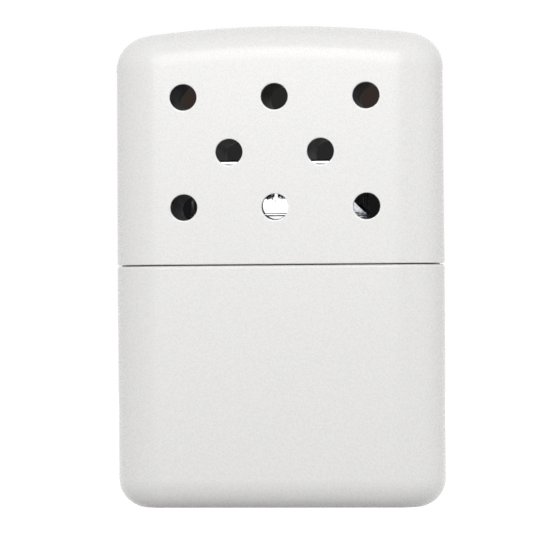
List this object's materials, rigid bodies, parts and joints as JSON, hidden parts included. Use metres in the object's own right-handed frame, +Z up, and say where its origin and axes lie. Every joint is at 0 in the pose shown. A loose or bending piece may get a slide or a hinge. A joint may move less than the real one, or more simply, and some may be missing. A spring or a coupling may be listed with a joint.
{
  "type": "catalytic hand warmer",
  "caption": "Slim pocket hand warmer: pearl-painted metal tank and pull-off vented lid over a plated catalytic burner that plugs on to an oval filler neck.",
  "frame": {"origin": "middle of the flat base, at the bottom of the standing warmer", "axes": "+X to the right and +Z up seen from the front, so the front faces -Y; the lid pulls off along +Z"},
  "size_m": [0.0504, 0.014, 0.0737],
  "materials": {
    "pearl_paint": "satin pearl enamel on brass sheet, bare inside",
    "plated_band": "bright nickel plate",
    "plated_neck": "bright nickel plate",
    "plated_burner": "bright plate, slightly straw coloured by heat",
    "braze": "dull fillet",
    "sealant": "matt",
    "retainer_steel": "dull tinned steel",
    "felt": "pressed wool felt",
    "cotton": "loose cotton wadding",
    "gauze_wire": "fine woven wire",
    "glass_fibre": "grey coated glass fibre mat",
    "screen_steel": "punched sheet"
  },
  "bodies": {
    "tank": {"tank_shell": "pearl_paint", "tank_cap": "plated_band", "cap_seal": "sealant", "filler_neck": "plated_neck", "neck_braze": "braze", "wadding_retainer": "retainer_steel", "wick_felt": "felt", "wadding_upper": "cotton", "wadding_lower": "cotton"},
    "lid": {"lid_shell": "pearl_paint"},
    "burner": {"burner_case": "plated_burner", "front_gauze": "gauze_wire", "rear_gauze": "gauze_wire", "catalyst_mat": "glass_fibre", "lower_screen": "screen_steel", "retaining_ring": "screen_steel"}
  },
  "joints": [
    {"name": "lid_pull", "type": "slide", "parent": "tank", "child": "lid", "axis": [0, 0, 1], "range_m": [0, 0.035]},
    {"name": "burner_pull", "type": "slide", "parent": "tank", "child": "burner", "axis": [0, 0, 1], "range_m": [0, 0.012]}
  ]
}
